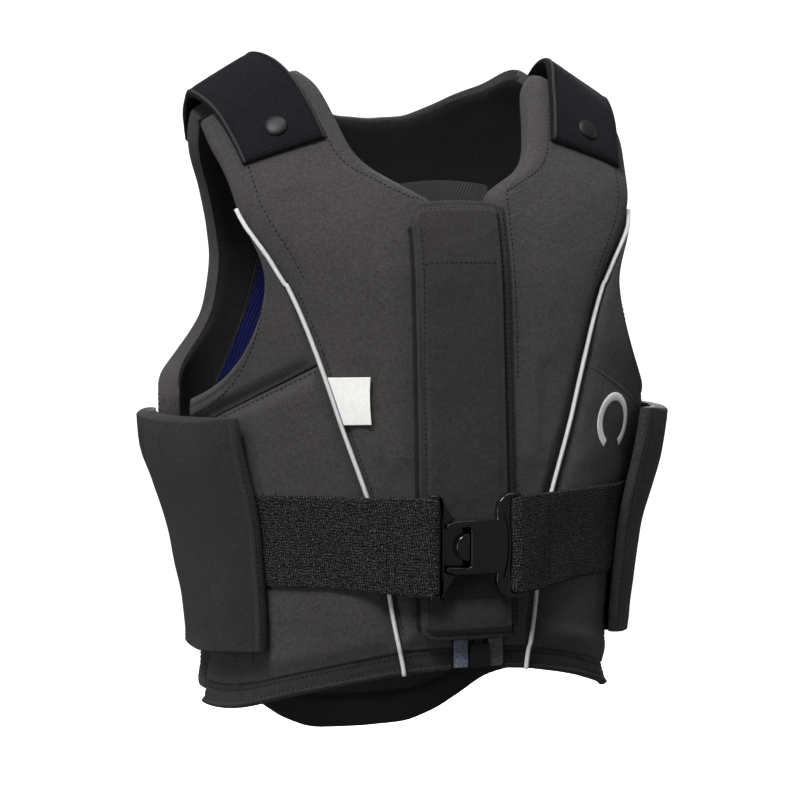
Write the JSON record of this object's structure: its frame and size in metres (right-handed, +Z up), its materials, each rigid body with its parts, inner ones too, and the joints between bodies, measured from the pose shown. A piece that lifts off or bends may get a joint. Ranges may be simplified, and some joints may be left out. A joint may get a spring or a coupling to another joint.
{
  "type": "equestrian body protector",
  "caption": "Sleeveless padded riding vest with a zip under a front placket, silver piping, side pads, an elastic waist strap with a centre buckle and over-shoulder closing straps.",
  "frame": {"origin": "where the vest rests on the wearer: midway between the shoulders, at the height of the shoulder tops' inner side, over the middle of the hollow from front to back", "axes": "+Z up the wearer's body; the front of the vest faces -Y; +X is the wearer's left"},
  "size_m": [0.3736, 0.2594, 0.4868],
  "materials": {
    "shell_cloth": "matt woven nylon over foam",
    "mesh_lining": "royal blue spacer mesh",
    "loop_cloth": "rough loop pile",
    "elastic_cloth": "coarse ribbed elastic",
    "piping_cloth": "silver reflective cord",
    "buckle_nylon": "smooth moulded nylon",
    "zip_nylon": "woven tape and moulded teeth",
    "film_plastic": "clear-coated tape end",
    "label_cloth": "plain woven label",
    "snap_metal": "dark lacquered cap"
  },
  "bodies": {
    "root": {"back_panel": "shell_cloth", "back_lining": "mesh_lining", "front_centre_left": "shell_cloth", "front_centre_right": "shell_cloth", "front_armhole_left": "shell_cloth", "front_armhole_right": "shell_cloth", "front_side_left": "shell_cloth", "front_side_right": "shell_cloth", "hem_band_left": "shell_cloth", "hem_band_right": "shell_cloth", "piping_left": "piping_cloth", "piping_right": "piping_cloth", "zip_tape_left": "zip_nylon", "zip_tape_right": "zip_nylon", "zip_teeth": "zip_nylon", "zip_box": "zip_nylon", "zip_slider": "zip_nylon", "zip_film_left": "film_plastic", "zip_film_right": "film_plastic", "zip_guard": "loop_cloth", "placket": "shell_cloth", "placket_hook_tape": "loop_cloth", "side_pad_left": "shell_cloth", "side_pad_right": "shell_cloth", "buckle_socket": "buckle_nylon", "buckle_plug": "buckle_nylon", "waist_strap_left": "elastic_cloth", "waist_strap_right": "elastic_cloth", "shoulder_strap_left": "loop_cloth", "shoulder_strap_right": "loop_cloth", "snap_left": "snap_metal", "snap_right": "snap_metal", "label_tab": "label_cloth"}
  },
  "joints": []
}
